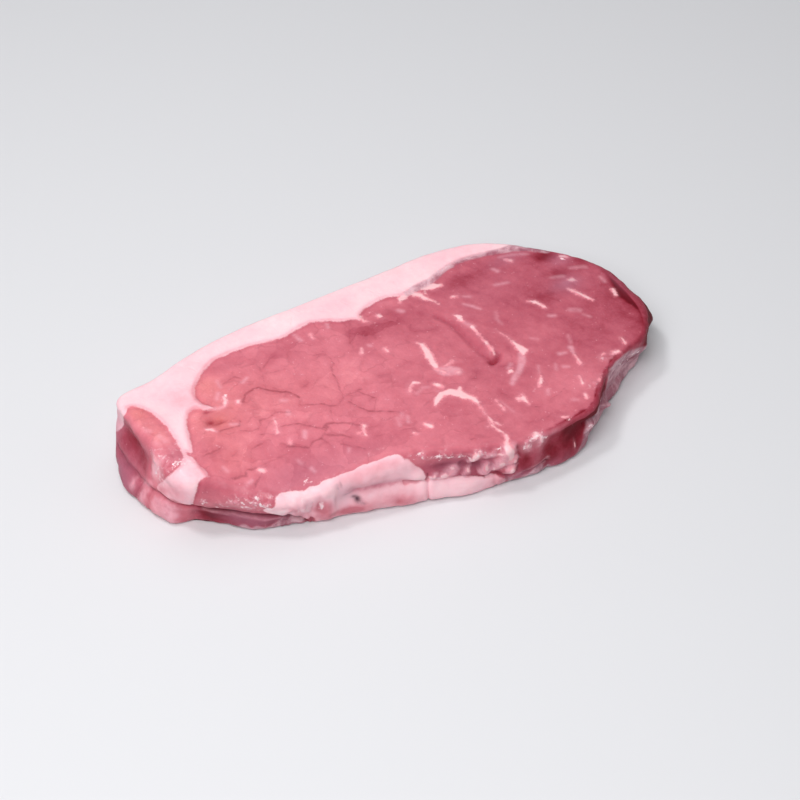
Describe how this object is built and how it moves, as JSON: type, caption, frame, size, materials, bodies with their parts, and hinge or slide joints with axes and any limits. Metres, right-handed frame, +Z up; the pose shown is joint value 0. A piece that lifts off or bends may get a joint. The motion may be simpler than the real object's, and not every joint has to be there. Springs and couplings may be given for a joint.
{
  "type": "raw beef steak",
  "caption": "Thick raw loin steak lying flat: marbled lean slab with a fat cap along one long edge and a strip of fat on the other.",
  "frame": {"origin": "middle of the steak's bounding box, on the surface it lies on", "axes": "+X along the steak's length towards its rounded end, +Y across it towards the fat cap, +Z up out of the cut face"},
  "size_m": [0.2044, 0.1016, 0.0264],
  "materials": {
    "meat": "raw beef: moist rose-pink lean with fine cracks between its fibre bundles, thin marbling, and smooth pale pink fat"
  },
  "bodies": {
    "root": {"steak": "meat"}
  },
  "joints": []
}
